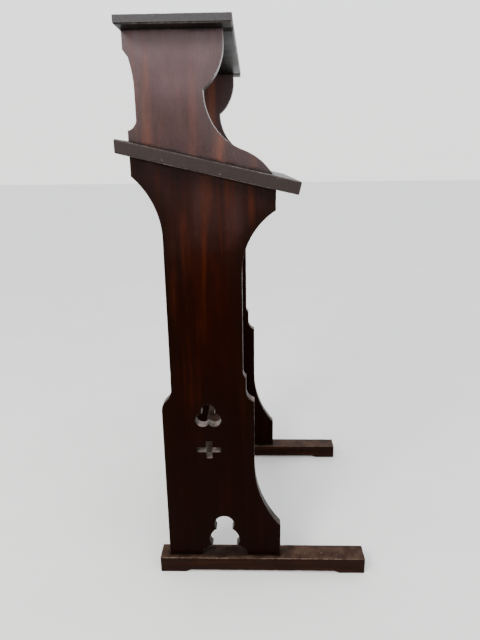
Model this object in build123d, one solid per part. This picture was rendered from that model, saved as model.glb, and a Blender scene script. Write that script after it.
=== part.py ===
from build123d import *
import os
from math import cos, radians, sin, tan

# Photo album stand: two pierced standards on sledge feet carry a sloping rest board. Two shorter
# shaped sides stand on the rest board and carry a flat top board. A low shelf ties the standards.
# Frame: X is the width, -Y the front, +Z up. The origin is the bottom centre of the outer box.
# Millimetres throughout.

# Overall sizes
overall_height = 1040
overall_depth = 452
outer_width = 468
panel_thickness = 22
board_overhang = 36

# Fits
glue_gap = 0.2
bore_gap = 0.1
arris = 1.6

# Feet
foot_length = 428
foot_width = 42
foot_height = 36
foot_relief = 5
pad_length = 52
pad_slope = 12

# Standards, all y from the front of the box
base_front = 176
base_width = 232
toe_height = 109
block_inset = 53
block_bottom = 254
block_top = 390
block_cove = 15.5
collar_bottom = 412
collar_top = 439
collar_cove = 5.5
waist_bottom = 450
waist_back_inset = 20
back_step_bottom = 370
back_step_top = 414
front_cove_bottom = 640
front_shoulder = 59
front_shoulder_height = 748
back_cove_bottom = 700
back_shoulder = 48
back_shoulder_height = 806

# Piercings
bell_head_height = 131
bell_neck_height = 100
bell_bulge_height = 73
bell_pinch_height = 59
bell_neck = 32
bell_bulge = 61
bell_pinch = 49
bell_mouth = 93
lobe_radius = 13.2
lobe_spread = 13
trefoil_height = 357
cross_height = 286
cross_width = 45
cross_length = 36
cross_bar = 9
cross_post = 11

# Rest board
slope = 13
rest_thickness = 22
rest_back_height = 862
rest_back_overhang = 16
rest_front_overhang = 41

# Upper sides
side_front = 276
side_toe = 196
recess_depth = 15
recess_bottom = 879
recess_low_cove = 18
recess_curve_bottom = 940
recess_curve_top = 988
recess_lip = 7
recess_top = 999
brow_height = 1008
cusp_height = 939
cusp_depth = 34
nose_height = 847
nose_depth = 64

# Top board
top_thickness = 13.5
top_depth = 180
top_front_overhang = 16
top_bevel = 2.5

# Low shelf
shelf_depth = 120
shelf_thickness = 18
shelf_top = 190
housing_depth = 6

# Joinery
tenon_width = 40
tenon_height = 20
tenon_thickness = 10
tenon_end_gap = 1
dowel_radius = 5
dowel_bevel = 0.8
rest_dowel_length = 66
rest_dowel_count = 3
top_dowel_radius = 4
top_dowel_length = 32
top_dowel_in_board = 8
top_dowel_count = 2
rest_dowel_margin = 60
top_dowel_margin = 35
screw_radius = 2.2
screw_head_radius = 4.4
screw_head_height = 3
screw_length = 42
block_leg = 22
glue_block_length = 60
glue_block_count = 2

# Derived stations
box_front = -overall_depth / 2
foot_front = box_front
base_front_y = box_front + base_front
base_back_y = base_front_y + base_width
base_middle_y = (base_front_y + base_back_y) / 2
block_front_y = base_front_y + block_inset
block_middle_y = (block_front_y + base_back_y) / 2
collar_front_y = block_front_y + block_cove
waist_front_y = collar_front_y + collar_cove
waist_back_y = base_back_y - waist_back_inset
shoulder_front_y = waist_front_y - front_shoulder
shoulder_back_y = waist_back_y + back_shoulder
rest_back_y = shoulder_back_y + rest_back_overhang
rest_front_y = shoulder_front_y - rest_front_overhang
side_front_y = box_front + side_front
side_toe_y = box_front + side_toe
recess_y = shoulder_back_y - recess_depth
cusp_y = side_front_y + cusp_depth
nose_y = cusp_y - nose_depth
top_under = overall_height - top_thickness
top_front_y = side_front_y - top_front_overhang
inner_half = outer_width / 2 - panel_thickness
board_length = outer_width + 2 * board_overhang
panel_middle = outer_width / 2 - panel_thickness / 2
rest_drop = rest_thickness / cos(radians(slope))


def rest_top(y):
    return rest_back_height - (shoulder_back_y - y) * tan(radians(slope))


def rest_under(y):
    return rest_top(y) - rest_drop


def spread(first, last, count):
    step = (last - first) / (count - 1)
    return [first + step * index for index in range(count)]


def slab(outline, x_start, thickness):
    face = Plane.YZ.offset(x_start) * make_face(outline)
    return extrude(face, amount=thickness, dir=(1, 0, 0))


def cove(start, end, heading):
    # An arc that leaves its start straight up or down and runs out to the corner at its end.
    return TangentArc(start, end, tangent=(0, heading))


def ogee(start, end):
    # Two equal tangent arcs that set off and arrive vertically.
    middle = ((start[0] + end[0]) / 2, (start[1] + end[1]) / 2)
    first = TangentArc(start, middle, tangent=(0, -1))
    return [first, TangentArc(middle, end, tangent=first % 1)]


def soften(solid, radius):
    return fillet(solid.edges(), radius)


def standard_outline():
    waist_top_back = (waist_back_y, back_cove_bottom)
    shoulder_back = (shoulder_back_y, back_shoulder_height)
    shoulder_front = (shoulder_front_y, front_shoulder_height)
    head_back = (shoulder_back_y, rest_under(shoulder_back_y))
    head_front = (shoulder_front_y, rest_under(shoulder_front_y))
    collar_low = (collar_front_y, collar_bottom)
    block_high = (block_front_y, block_top)
    block_low = (block_front_y, block_bottom)
    toe = (base_front_y, toe_height)
    step_high = (waist_back_y, back_step_top)
    step_low = (base_back_y, back_step_bottom)
    edges = [
        Line((base_front_y, foot_height), (base_back_y, foot_height)),
        Line((base_back_y, foot_height), step_low),
        *ogee(step_high, step_low),
        Line(step_high, waist_top_back),
        cove(waist_top_back, shoulder_back, 1),
        Line(shoulder_back, head_back),
        Line(head_back, head_front),
        Line(head_front, shoulder_front),
        cove((waist_front_y, front_cove_bottom), shoulder_front, 1),
        Line((waist_front_y, front_cove_bottom), (waist_front_y, waist_bottom)),
        cove((waist_front_y, waist_bottom), (collar_front_y, collar_top), -1),
        Line((collar_front_y, collar_top), collar_low),
        cove(collar_low, block_high, -1),
        Line(block_high, block_low),
        cove(block_low, toe, -1),
        Line(toe, (base_front_y, foot_height)),
    ]
    return Curve() + edges


def bell_outline():
    def pair(half_span, height):
        return (base_middle_y - half_span, height), (base_middle_y + half_span, height)

    neck_front, neck_back = pair(bell_neck / 2, bell_neck_height)
    bulge_front, bulge_back = pair(bell_bulge / 2, bell_bulge_height)
    pinch_front, pinch_back = pair(bell_pinch / 2, bell_pinch_height)
    mouth_front, mouth_back = pair(bell_mouth / 2, foot_height)
    edges = [
        ThreePointArc(neck_front, (base_middle_y, bell_head_height), neck_back),
        TangentArc(bulge_back, neck_back, tangent=(0, 1)),
        TangentArc(bulge_back, pinch_back, tangent=(0, -1)),
        TangentArc(mouth_back, pinch_back, tangent=(0, 1)),
        Line(mouth_back, mouth_front),
        TangentArc(mouth_front, pinch_front, tangent=(0, 1)),
        TangentArc(bulge_front, pinch_front, tangent=(0, -1)),
        TangentArc(bulge_front, neck_front, tangent=(0, 1)),
    ]
    return Curve() + edges


def tenon_stations():
    leg = (base_width - bell_mouth) / 2
    return [base_front_y + leg / 2, base_back_y - leg / 2]


def rest_dowel_stations():
    return spread(side_toe_y + rest_dowel_margin, shoulder_back_y - rest_dowel_margin, rest_dowel_count)


def top_dowel_stations():
    return spread(side_front_y + top_dowel_margin, shoulder_back_y - top_dowel_margin, top_dowel_count)


def rod_x(x, y, z, radius, length):
    return Pos(x, y, z) * Rot(0, 90, 0) * Cylinder(radius, length)


def rod_z(x, y, z_low, radius, length):
    return Pos(x, y, z_low + length / 2) * Cylinder(radius, length)


def rest_spot(x, y):
    # The middle of the rest board's thickness, turned square to the board.
    return Pos(x, y, (rest_top(y) + rest_under(y)) / 2) * Rot(slope, 0, 0)


def rest_dowel_bore(side, y):
    bore = Cylinder(dowel_radius + bore_gap, rest_dowel_length + 2 * bore_gap)
    return rest_spot(side * panel_middle, y) * bore


def standard(side):
    x_start = side * panel_middle - panel_thickness / 2
    body = slab(standard_outline(), x_start, panel_thickness)
    for y in tenon_stations():
        tenon_middle = foot_height - tenon_height / 2
        body += Pos(side * panel_middle, y, tenon_middle) * Box(tenon_thickness, tenon_width, tenon_height)
    body -= slab(bell_outline(), x_start, panel_thickness)
    for turn in range(3):
        angle = radians(90 + 120 * turn)
        lobe_y = block_middle_y + lobe_spread * cos(angle)
        lobe_z = trefoil_height + lobe_spread * sin(angle)
        body -= rod_x(side * panel_middle, lobe_y, lobe_z, lobe_radius, panel_thickness)
    cross_centre = Pos(side * panel_middle, block_middle_y, cross_height)
    body -= cross_centre * Box(panel_thickness, cross_width, cross_bar)
    body -= cross_centre * Box(panel_thickness, cross_post, cross_length)
    housing_middle = side * (inner_half + housing_depth / 2)
    housing = Box(housing_depth, shelf_depth + 2 * glue_gap, shelf_thickness + 2 * glue_gap)
    body -= Pos(housing_middle, base_middle_y, shelf_top - shelf_thickness / 2) * housing
    for y in rest_dowel_stations():
        body -= rest_dowel_bore(side, y)
    for y in tenon_stations():
        body -= screw(side, y)
    return body


def upper_side_outline():
    corner_front = (side_front_y, top_under)
    brow = (side_front_y, brow_height)
    cusp = (cusp_y, cusp_height)
    nose = (nose_y, nose_height)
    toe = (side_toe_y, rest_top(side_toe_y))
    heel = (shoulder_back_y, rest_top(shoulder_back_y))
    corner_back = (shoulder_back_y, top_under)
    recess_low = (recess_y, recess_bottom + recess_low_cove)
    recess_high = (recess_y, recess_curve_bottom)
    lip = (recess_y + recess_lip, recess_curve_top)
    throat = TangentArc(cusp, nose, tangent=(0, -1))
    edges = [
        Line(corner_front, brow),
        cove(brow, cusp, -1),
        throat,
        TangentArc(nose, toe, tangent=throat % 1),
        Line(toe, heel),
        Line(heel, (shoulder_back_y, recess_bottom)),
        cove(recess_low, (shoulder_back_y, recess_bottom), -1),
        Line(recess_low, recess_high),
        cove(recess_high, lip, 1),
        Line(lip, (shoulder_back_y, recess_top)),
        Line((shoulder_back_y, recess_top), corner_back),
        Line(corner_back, corner_front),
    ]
    return Curve() + edges


def upper_side(side):
    x_start = side * panel_middle - panel_thickness / 2
    body = slab(upper_side_outline(), x_start, panel_thickness)
    for y in rest_dowel_stations():
        body -= rest_dowel_bore(side, y)
    for y in top_dowel_stations():
        body -= top_dowel_bore(side, y)
    return body


def foot(side):
    front = foot_front
    back = foot_front + foot_length
    relief_front = front + pad_length
    relief_back = back - pad_length
    outline = Polyline(
        (front, 0), (relief_front, 0), (relief_front + pad_slope, foot_relief),
        (relief_back - pad_slope, foot_relief), (relief_back, 0), (back, 0),
        (back, foot_height), (front, foot_height), close=True,
    )
    body = soften(slab(outline, side * panel_middle - foot_width / 2, foot_width), arris)
    for y in tenon_stations():
        depth = tenon_height + tenon_end_gap
        mortise = Box(tenon_thickness + 2 * glue_gap, tenon_width + 2 * glue_gap, depth)
        body -= Pos(side * panel_middle, y, foot_height - depth / 2) * mortise
        body -= screw(side, y)
        body -= rod_z(side * panel_middle, y, 0, screw_head_radius, foot_relief)
    return body


def rest_board():
    # The back end is cut plumb, and the front end square to the slope.
    rest_heel_y = rest_front_y + rest_thickness * sin(radians(slope))
    outline = Polyline(
        (rest_front_y, rest_top(rest_front_y)), (rest_back_y, rest_top(rest_back_y)),
        (rest_back_y, rest_under(rest_back_y)), (rest_heel_y, rest_under(rest_heel_y)), close=True,
    )
    body = soften(slab(outline, -board_length / 2, board_length), arris)
    for side in (-1, 1):
        for y in rest_dowel_stations():
            body -= rest_dowel_bore(side, y)
    return body


def top_board():
    middle_y = top_front_y + top_depth / 2
    middle_z = overall_height - top_thickness / 2
    body = Pos(0, middle_y, middle_z) * Box(board_length, top_depth, top_thickness)
    body = chamfer(body.faces().sort_by(Axis.Z)[0].edges(), top_bevel)
    body = fillet(body.faces().sort_by(Axis.Z)[-1].edges(), arris)
    for side in (-1, 1):
        for y in top_dowel_stations():
            body -= top_dowel_bore(side, y)
    return body


def low_shelf():
    length = 2 * (inner_half + housing_depth)
    middle_z = shelf_top - shelf_thickness / 2
    return Pos(0, base_middle_y, middle_z) * Box(length, shelf_depth, shelf_thickness)


def peg(radius, length):
    return chamfer(Cylinder(radius, length).edges(), dowel_bevel)


def rest_dowels(side):
    return [
        rest_spot(side * panel_middle, y) * peg(dowel_radius, rest_dowel_length)
        for y in rest_dowel_stations()
    ]


def top_dowel_bore(side, y):
    length = top_dowel_length + 2 * bore_gap
    low = top_under + top_dowel_in_board - top_dowel_length - bore_gap
    return rod_z(side * panel_middle, y, low, top_dowel_radius + bore_gap, length)


def top_dowels(side):
    middle = top_under + top_dowel_in_board - top_dowel_length / 2
    return [
        Pos(side * panel_middle, y, middle) * peg(top_dowel_radius, top_dowel_length)
        for y in top_dowel_stations()
    ]


def screw(side, y):
    # A countersunk screw, driven up through the foot into the tenon. Its head lies as deep as the relief.
    head_middle = foot_relief + screw_head_height / 2
    head = Cone(screw_head_radius, screw_radius, screw_head_height)
    shank_length = screw_length - screw_head_height
    shank = rod_z(side * panel_middle, y, foot_relief + screw_head_height, screw_radius, shank_length)
    return Pos(side * panel_middle, y, head_middle) * head + shank


def foot_screws(side):
    return [screw(side, y) for y in tenon_stations()]


def glue_blocks(side):
    # Three-cornered blocks in the angle between the standard and the underside of the rest board.
    reach = glue_block_length / 2
    blocks = []
    for y in spread(waist_front_y + reach, waist_back_y - reach, glue_block_count):
        corner = Pos(side * inner_half, y, rest_under(y)) * Rot(slope, 0, 0)
        section = Polyline((0, 0), (-side * block_leg, 0), (0, -block_leg), close=True)
        face = Plane.XZ.offset(-reach) * make_face(section)
        blocks.append(corner * extrude(face, amount=glue_block_length, dir=(0, -1, 0)))
    return blocks


def build():
    pieces = {"rest_board": rest_board(), "top_board": top_board(), "low_shelf": low_shelf()}
    for name, side in (("left", -1), ("right", 1)):
        pieces[f"{name}_foot"] = foot(side)
        pieces[f"{name}_standard"] = standard(side)
        pieces[f"{name}_upper_side"] = upper_side(side)
        pieces[f"{name}_rest_dowels"] = Compound(children=rest_dowels(side))
        pieces[f"{name}_top_dowels"] = Compound(children=top_dowels(side))
        pieces[f"{name}_foot_screws"] = Compound(children=foot_screws(side))
        pieces[f"{name}_glue_blocks"] = Compound(children=glue_blocks(side))
    return pieces


os.makedirs("parts", exist_ok=True)
for name, piece in build().items():
    export_step(piece, f"parts/{name}.step")
    print(name)
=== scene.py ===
import itertools
import math
import bmesh
import bpy
import numpy as np
from mathutils import Matrix, Vector
from mathutils.geometry import delaunay_2d_cdt


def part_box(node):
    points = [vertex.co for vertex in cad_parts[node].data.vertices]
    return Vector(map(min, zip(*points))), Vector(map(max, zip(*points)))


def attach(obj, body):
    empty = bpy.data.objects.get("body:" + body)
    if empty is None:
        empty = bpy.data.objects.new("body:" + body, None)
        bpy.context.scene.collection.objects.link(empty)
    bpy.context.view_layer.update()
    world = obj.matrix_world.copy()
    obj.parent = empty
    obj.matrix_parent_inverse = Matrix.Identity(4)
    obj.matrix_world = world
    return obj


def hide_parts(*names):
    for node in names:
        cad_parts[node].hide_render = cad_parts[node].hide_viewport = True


# Photo album stand in dark polished mahogany: two fretted standards on sledge feet, a sloping rest
# board, two shaped upper sides and a flat top board. Metres, X is the width, -Y the front, +Z up.

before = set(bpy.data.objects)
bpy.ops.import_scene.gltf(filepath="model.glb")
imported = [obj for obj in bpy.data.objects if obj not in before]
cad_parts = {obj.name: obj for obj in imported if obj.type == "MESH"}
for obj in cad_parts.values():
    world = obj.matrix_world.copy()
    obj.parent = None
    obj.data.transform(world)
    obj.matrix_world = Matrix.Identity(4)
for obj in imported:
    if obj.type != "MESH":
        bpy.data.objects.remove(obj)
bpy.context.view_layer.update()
sides = {"left": -1, "right": 1}
millimetre = 0.001


def addNode(tree, kind, values=None, **settings):
    node = tree.nodes.new(kind)
    for key, value in settings.items():
        setattr(node, key, value)
    for key, value in (values or {}).items():
        if isinstance(value, bpy.types.NodeSocket):
            tree.links.new(value, node.inputs[key])
        else:
            node.inputs[key].default_value = value
    return node


def newGroup(name, kind, inputs, outputs):
    tree = bpy.data.node_groups.new(name, kind)
    for label, socketType in inputs.items():
        tree.interface.new_socket(label, in_out="INPUT", socket_type=socketType)
    for label, socketType in outputs.items():
        tree.interface.new_socket(label, in_out="OUTPUT", socket_type=socketType)
    given = tree.nodes.new("NodeGroupInput").outputs
    result = tree.nodes.new("NodeGroupOutput").inputs
    return tree, given, result


def finishTree(tree, geometry, given, result):
    real = addNode(tree, "GeometryNodeRealizeInstances", {"Geometry": geometry})
    values = {"Geometry": real.outputs[0], "Material": given["Finish"]}
    tree.links.new(addNode(tree, "GeometryNodeSetMaterial", values).outputs[0], result["Geometry"])
    return tree


def addObject(name, data):
    item = bpy.data.objects.new(name, data)
    bpy.context.scene.collection.objects.link(item)
    return item


def editing(mesh):
    work = bmesh.new()
    work.from_mesh(mesh)
    return work


def edited(work, name):
    mesh = bpy.data.meshes.new(name)
    work.to_mesh(mesh)
    work.free()
    return mesh


def combine(tree, operation, first, second=0.0, third=0.0, clamp=False):
    node = addNode(tree, "ShaderNodeMath", {0: first, 1: second, 2: third}, operation=operation)
    node.use_clamp = clamp
    return node.outputs[0]


def remap(tree, value, fromLow, fromHigh, toLow, toHigh, smooth=True):
    values = {0: value, 1: fromLow, 2: fromHigh, 3: toLow, 4: toHigh}
    node = addNode(tree, "ShaderNodeMapRange", values)
    node.interpolation_type = "SMOOTHSTEP" if smooth else "LINEAR"
    return node.outputs[0]


def clouds(tree, vector, scale, detail=3.0, roughness=0.55, distortion=0.0):
    values = {"Vector": vector, "Scale": scale, "Detail": detail, "Roughness": roughness}
    values["Distortion"] = distortion
    return addNode(tree, "ShaderNodeTexNoise", values).outputs[0]


def blendColour(tree, amount, first, second, mode="MIX"):
    node = addNode(tree, "ShaderNodeMix", {0: amount}, data_type="RGBA", blend_type=mode)
    for index, value in ((6, first), (7, second)):
        if isinstance(value, bpy.types.NodeSocket):
            tree.links.new(value, node.inputs[index])
        else:
            node.inputs[index].default_value = (*value, 1)
    return node.outputs[2]


def axisOf(tree, vector, axis):
    return addNode(tree, "ShaderNodeSeparateXYZ", {0: vector}).outputs[axis]


def stretch(tree, vector, scale, shift=(0, 0, 0)):
    values = {"Vector": vector, "Location": shift, "Scale": scale}
    return addNode(tree, "ShaderNodeMapping", values).outputs[0]


def scaled(colour, share):
    return tuple(value * share for value in colour)


floatType, vectorType = "NodeSocketFloat", "NodeSocketVector"

# In the settings below a noise is its scale, detail and roughness, and its distortion where it has one.
# A reach is the pair of values between which a mask runs from one end to the other.
figureWork = {
    "broad": (3, 0.5, 0.15), "narrow": (4, 0.6, 0.3), "narrowScale": 3.1, "narrowShare": 0.32,
    "flame": (3, 0.45, 0.15), "flameScale": 2.3, "flameShift": (3.1, 7.7, 1.9),
    "fibre": (2, 0.6), "pores": (1, 0.4), "poreScale": 2.6,
    "toneReach": (0.36, 0.64), "flameReach": (0.50, 0.74), "fibreReach": (0.3, 0.7),
    "poreReach": (0.62, 0.72),
}


def makeFigure():
    # Stained mahogany: broad streaks, fine fibres and short dark pores, all drawn out along the grain.
    inputs = {"Vector": vectorType, "Streak Scale": floatType, "Fibre Scale": floatType}
    outputs = {"Tone": floatType, "Flame": floatType, "Fibre": floatType, "Pores": floatType}
    tree, given, result = newGroup("woodFigure", "ShaderNodeTree", inputs, outputs)
    vector, work = given["Vector"], figureWork

    def finer(label, gain):
        return combine(tree, "MULTIPLY", given[label], work[gain])

    broad = clouds(tree, vector, given["Streak Scale"], *work["broad"])
    narrow = clouds(tree, vector, finer("Streak Scale", "narrowScale"), *work["narrow"])
    broadPart = combine(tree, "MULTIPLY", broad, 1 - work["narrowShare"])
    tone = combine(tree, "MULTIPLY_ADD", narrow, work["narrowShare"], broadPart)
    shifted = addNode(tree, "ShaderNodeVectorMath", {0: vector, 1: work["flameShift"]}, operation="ADD")
    flame = clouds(tree, shifted.outputs[0], finer("Streak Scale", "flameScale"), *work["flame"])
    fibre = clouds(tree, vector, given["Fibre Scale"], *work["fibre"])
    pores = clouds(tree, vector, finer("Fibre Scale", "poreScale"), *work["pores"])
    tree.links.new(remap(tree, tone, *work["toneReach"], 0, 1, False), result["Tone"])
    tree.links.new(remap(tree, flame, *work["flameReach"], 0, 1), result["Flame"])
    tree.links.new(remap(tree, fibre, *work["fibreReach"], 0, 1, False), result["Fibre"])
    tree.links.new(remap(tree, pores, *work["poreReach"], 0, 1), result["Pores"])
    return tree


def raggedBand(tree, vector, distance, width, noise, drift):
    # Full where the distance is nothing and gone at the width, with a ragged limit.
    centred = combine(tree, "SUBTRACT", clouds(tree, vector, *noise), 0.5)
    shift = combine(tree, "MULTIPLY", centred, drift)
    reach = combine(tree, "MULTIPLY_ADD", shift, width, distance)
    return remap(tree, reach, 0.0, width, 1.0, 0.0)


wearHighlightWork = {
    "rag": (190, 5, 0.65), "drift": 3.2,
    "patches": (26, 3, 0.6), "patchReach": (0.34, 0.62), "patchLow": 0.25,
}


def makeWearAndHighlight():
    # Rubbed arrises, lightened as wear and with a painted highlight. Rim is the distance from the nearest
    # open edge, in millimetres.
    inputs = {"Vector": vectorType, "Rim": floatType, "Width": floatType, "Amount": floatType}
    tree, given, result = newGroup("edgeWearAndHighlight", "ShaderNodeTree", inputs, {"Mask": floatType})
    work = wearHighlightWork
    edge = raggedBand(tree, given["Vector"], given["Rim"], given["Width"], work["rag"], work["drift"])
    patches = clouds(tree, given["Vector"], *work["patches"])
    wornHighlight = combine(tree, "MULTIPLY", edge, remap(tree, patches, *work["patchReach"], work["patchLow"], 1))
    tree.links.new(combine(tree, "MULTIPLY", wornHighlight, given["Amount"], clamp=True), result["Mask"])
    return tree


grimeShadeWork = {"rag": (70, 4, 0.6), "drift": 1.6}


def makeGrimeAndShade():
    # Polish and dirt that gather against a joint, darkened also as painted shade. Seat is the distance from
    # the joint, in millimetres.
    inputs = {"Vector": vectorType, "Seat": floatType, "Reach": floatType}
    tree, given, result = newGroup("seatGrimeAndShade", "ShaderNodeTree", inputs, {"Mask": floatType})
    rag, drift = grimeShadeWork["rag"], grimeShadeWork["drift"]
    mask = raggedBand(tree, given["Vector"], given["Seat"], given["Reach"], rag, drift)
    tree.links.new(mask, result["Mask"])
    return tree


dustAndLightWork = {"facing": (0.45, 0.95), "patches": (34, 5, 0.62), "patchReach": (0.32, 0.66), "patchLow": 0.15}


def makeDustAndLight():
    # A thin film of dust, also painted light, on whatever faces up, rubbed away in patches.
    inputs = {"Vector": vectorType, "Normal": vectorType, "Amount": floatType}
    tree, given, result = newGroup("dustAndLightFilm", "ShaderNodeTree", inputs, {"Mask": floatType})
    flat = remap(tree, axisOf(tree, given["Normal"], "Z"), *dustAndLightWork["facing"], 0, 1)
    patches = clouds(tree, given["Vector"], *dustAndLightWork["patches"])
    patches = remap(tree, patches, *dustAndLightWork["patchReach"], dustAndLightWork["patchLow"], 1)
    film = combine(tree, "MULTIPLY", flat, patches)
    tree.links.new(combine(tree, "MULTIPLY", film, given["Amount"], clamp=True), result["Mask"])
    return tree


figureGroup, wearHighlightGroup, grimeShadeGroup, dustAndLightGroup = makeFigure(), makeWearAndHighlight(), makeGrimeAndShade(), makeDustAndLight()

# the grain's direction is the drawn-out one
alongX, alongY, alongZ = (0.07, 1, 1), (1, 0.07, 1), (1, 1, 0.07)

standardPolish = {
    "grain": alongZ, "shift": (0, 0, 0), "streakScale": 19, "fibreScale": 620, "fibreTone": 0.13,
    "deep": (0.0018, 0.0003, 0.0001), "body": (0.0095, 0.0010, 0.0002), "mottle": 0.35,
    "flame": (0.042, 0.0068, 0.0010), "flameAmount": 0.75, "drift": 0.35,
    "shade": (0.0012, 0.00016, 0.00006), "shadeAmount": 0.92, "shadeBottom": 0.26, "shadeTop": 0.74,
    "paintedSheen": (0.031, 0.0150, 0.0140), "paintedSheenAmount": 0.6, "paintedSheenBottom": 0.62, "paintedSheenTop": 0.84,
    "paintedSheenThin": 0.35, "innerPaintedSheen": 0.2, "flamePaintedSheen": 0.6,
    "rimShade": 0.7, "margin": (0.0020, 0.0007, 0.0004), "endGrain": (0.012, 0.0065, 0.005),
    "wornHighlight": (0.060, 0.042, 0.035), "wearHighlightWidth": 1.5, "wearHighlightAmount": 0.7, "grimeShadeReach": 6,
    "dustAndLight": (0.19, 0.155, 0.135), "dustAndLightAmount": 0.9, "under": 0.8, "underDull": 1.0,
    "roughLow": 0.26, "roughHigh": 0.40, "coat": 0.16, "coatLow": 0.0,
    "specular": 0.05, "specularTint": (1.0, 0.35, 0.20),
}
upperPolish = dict(
    standardPolish, shift=(0.74, 0.447, 0.22), streakScale=12, fibreTone=0.07,
    deep=(0.015, 0.0048, 0.0043), body=(0.030, 0.0098, 0.0086), mottle=0.6,
    flame=(0.120, 0.034, 0.015), flameAmount=1.0, drift=0.14,
    shade=(0.024, 0.014, 0.0135), shadeBottom=0.78, shadeTop=0.84,
    paintedSheen=(0.094, 0.062, 0.066), paintedSheenAmount=0.84, paintedSheenBottom=0.895, paintedSheenTop=1.05, paintedSheenThin=0.7, flamePaintedSheen=0.3,
    rimShade=0.34, margin=(0.030, 0.0235, 0.0235),
    wornHighlight=(0.28, 0.26, 0.25), wearHighlightWidth=0.9, wearHighlightAmount=1.0, dustAndLight=(0.060, 0.046, 0.044), dustAndLightAmount=0.35,
    roughLow=0.30, roughHigh=0.44, coat=0.30, coatLow=0.2, specular=0.20, specularTint=(1.0, 0.80, 0.80),
)
restPolish = dict(
    standardPolish, grain=alongX, streakScale=30,
    deep=(0.0032, 0.0014, 0.0011), body=(0.016, 0.0072, 0.0054), mottle=0.4, flame=(0.044, 0.0165, 0.0095),
    shade=(0.008, 0.0055, 0.0052), shadeAmount=0.0,
    paintedSheen=(0.026, 0.020, 0.019), paintedSheenAmount=0.45, paintedSheenBottom=0.5, paintedSheenTop=0.9,
    rimShade=0.2, margin=(0.008, 0.0055, 0.0052), endGrain=(0.0140, 0.0100, 0.0094),
    wornHighlight=(0.100, 0.082, 0.074), wearHighlightWidth=1.7, wearHighlightAmount=0.8, dustAndLight=(0.046, 0.038, 0.034), dustAndLightAmount=0.28,
    roughLow=0.36, roughHigh=0.54, coat=0.10, coatLow=0.10, specular=0.20, specularTint=(1.0, 0.82, 0.76),
)
topPolish = dict(
    restPolish, paintedSheen=(0.042, 0.038, 0.038), paintedSheenAmount=0.6, under=0.95, underDull=0.0,
    endGrain=(0.058, 0.0565, 0.0585), wearHighlightAmount=0.6, roughLow=0.34, roughHigh=0.48, specular=0.06,
)
footPolish = dict(
    restPolish, grain=alongY,
    deep=(0.0024, 0.0006, 0.0002), body=(0.0080, 0.0018, 0.0005), flame=(0.020, 0.0054, 0.0016),
    paintedSheenAmount=0.0, endGrain=(0.010, 0.0042, 0.0022), dustAndLight=(0.046, 0.027, 0.018), dustAndLightAmount=0.9,
    wornHighlight=(0.105, 0.072, 0.056), wearHighlightWidth=2.0, wearHighlightAmount=0.9,
    coat=0.02, coatLow=0.02, specular=0.07, specularTint=(1.0, 0.5, 0.35),
)
shelfPolish = dict(
    standardPolish, grain=alongX, shadeAmount=0.0,
    body=(0.010, 0.0022, 0.0008), dustAndLight=(0.040, 0.028, 0.022), dustAndLightAmount=0.6,
)
polishWork = {
    "blotches": (38, 4, 0.55, 0.2), "blotchLight": (0.52, 0.72), "blotchDark": (0.48, 0.30), "lightGain": 1.9,
    "clouds": (9, 4, 0.6), "thin": (20, 4, 0.6), "thinReach": (0.35, 0.68), "outward": (-0.2, 0.0),
    "marginDrift": 40, "marginReach": (2, 34),
    "endFacing": (0.75, 0.95), "endAmount": 0.85, "endDark": 0.45,
    "speckle": (420, 4, 0.7), "speckleReach": (0.3, 0.7), "speckleLow": 0.55,
    "fibreLevel": 0.97, "poreAmount": 0.45, "underFacing": (0.45, 0.72),
    "underColour": (0.0020, 0.0014, 0.0012),
    "grimeShadeAmount": 0.8, "grimeShadeColour": (0.004, 0.0028, 0.0024),
    "roughReach": (0.3, 0.7), "mattRough": 0.22, "dullRough": 0.55, "fibreRough": 0.06,
    "coatHeights": (0.55, 0.95), "coatRough": 0.22,
    "scratches": (260, 3, 0.7), "scratchStretch": (1, 0.6, 0.25), "scratchRelief": 0.35,
    "fibreRelief": 0.35, "poreRelief": -0.5, "strength": 0.35, "relief": 0.0005,
}


def startMaterial(name):
    material = bpy.data.materials.new(name)
    material.use_nodes = True
    tree = material.node_tree
    tree.nodes.clear()
    shader = tree.nodes.new("ShaderNodeBsdfPrincipled")
    addNode(tree, "ShaderNodeOutputMaterial", {"Surface": shader.outputs[0]})
    place = tree.nodes.new("ShaderNodeTexCoord").outputs["Object"]
    return material, tree, shader, place


def raiseSurface(tree, shader, height, work):
    values = {"Height": height, "Strength": work["strength"], "Distance": work["relief"]}
    tree.links.new(addNode(tree, "ShaderNodeBump", values).outputs[0], shader.inputs["Normal"])


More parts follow.
